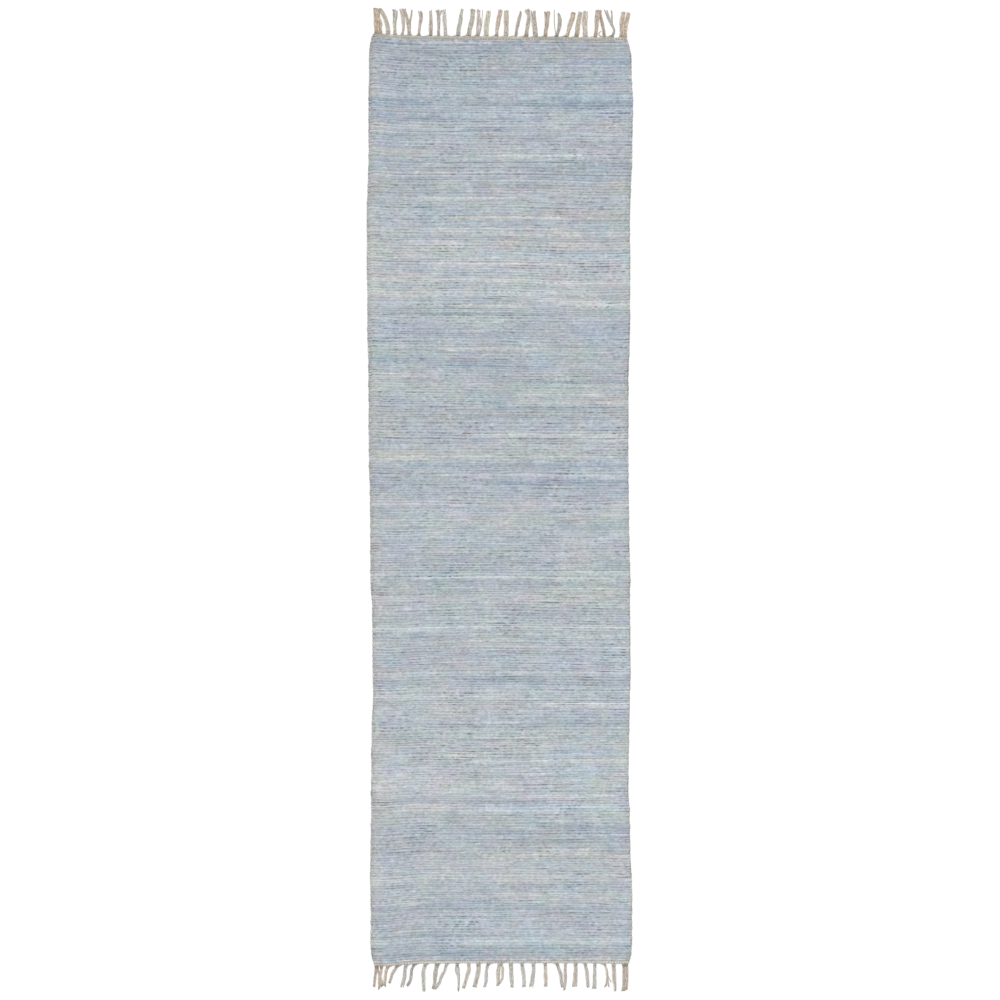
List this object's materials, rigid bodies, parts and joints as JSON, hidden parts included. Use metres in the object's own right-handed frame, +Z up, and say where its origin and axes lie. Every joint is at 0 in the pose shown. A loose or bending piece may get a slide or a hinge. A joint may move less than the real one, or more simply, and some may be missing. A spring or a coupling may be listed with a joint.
{
  "type": "rag rug",
  "caption": "Flat hand-woven rag runner in pale grey-blue cotton strips, with a narrow beige heading and knotted fringe at each short end.",
  "frame": {"origin": "on the floor, under the middle of the rug's whole outline, fringe included", "axes": "+X across the rug, +Y along it towards the head end, +Z up from the floor"},
  "size_m": [0.7202, 2.6631, 0.0066],
  "materials": {
    "rag_weft": "matt cotton rag strips in pale grey-blue, streaked with off-white and beige",
    "cotton_warp": "matt unbleached cotton warp yarn, beige"
  },
  "bodies": {
    "root": {"woven_cloth": "rag_weft", "head_fringe": "cotton_warp", "foot_fringe": "cotton_warp"}
  },
  "joints": []
}
